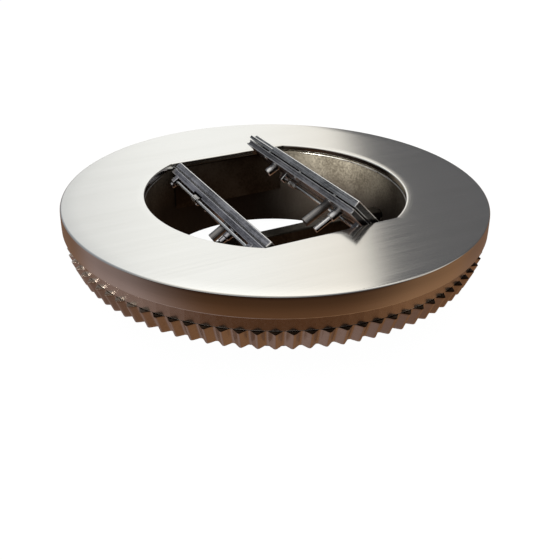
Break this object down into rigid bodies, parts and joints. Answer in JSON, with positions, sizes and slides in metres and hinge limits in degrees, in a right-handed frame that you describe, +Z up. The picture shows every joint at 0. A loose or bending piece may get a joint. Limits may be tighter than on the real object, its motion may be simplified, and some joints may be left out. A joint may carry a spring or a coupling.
{
  "type": "desk grommet",
  "caption": "Round metal desk grommet with a brushed trim ring, a knurled press-fit collar and two hinged flaps that close over the cable opening.",
  "frame": {"origin": "centre of the cable tube's lower rim; the desk seat under the trim ring is 14.7 mm above it", "axes": "+Z up out of the desk, +X along the two flats of the opening, +Y along the hinge lines of the flaps"},
  "size_m": [0.083, 0.083, 0.0231],
  "materials": {
    "brushed_nickel": "satin, brushed in one direction",
    "cast_body": "dark cast metal, semi-matt",
    "collar": "satin, dark nickel",
    "flap_metal": "satin",
    "bright_steel": "bright",
    "dark_pin": "satin, dark"
  },
  "bodies": {
    "grommet_body": {"trim_ring": "brushed_nickel", "housing": "cast_body", "toothed_collar": "collar", "far_hinge_block": "cast_body", "near_hinge_block": "cast_body", "stop_bridge": "cast_body", "trim_screw_1": "bright_steel", "block_screw_1": "bright_steel", "trim_screw_2": "bright_steel", "block_screw_2": "bright_steel", "trim_screw_3": "bright_steel", "block_screw_3": "bright_steel", "trim_screw_4": "bright_steel", "block_screw_4": "bright_steel", "bridge_screw_1": "bright_steel", "bridge_screw_2": "bright_steel"},
    "left_flap": {"left_flap_plate": "flap_metal", "left_flap_frame": "flap_metal", "left_hinge_rod": "bright_steel", "left_spring_rod": "bright_steel", "left_return_spring": "bright_steel", "left_stop_peg": "dark_pin", "left_rivet_1": "bright_steel", "left_rivet_2": "bright_steel", "left_rivet_3": "bright_steel"},
    "right_flap": {"right_flap_plate": "flap_metal", "right_flap_frame": "flap_metal", "right_hinge_rod": "bright_steel", "right_spring_rod": "bright_steel", "right_return_spring": "bright_steel", "right_stop_peg": "dark_pin", "right_rivet_1": "bright_steel", "right_rivet_2": "bright_steel", "right_rivet_3": "bright_steel"}
  },
  "joints": [
    {"name": "left_flap_hinge", "type": "hinge", "parent": "grommet_body", "child": "left_flap", "pos_m": [-0.0125, 0, 0.0172], "axis": [0, 1, 0], "range_deg": [-136, 0]},
    {"name": "right_flap_hinge", "type": "hinge", "parent": "grommet_body", "child": "right_flap", "pos_m": [0.0091, 0, 0.0172], "axis": [0, 1, 0], "range_deg": [-104, 31]}
  ]
}
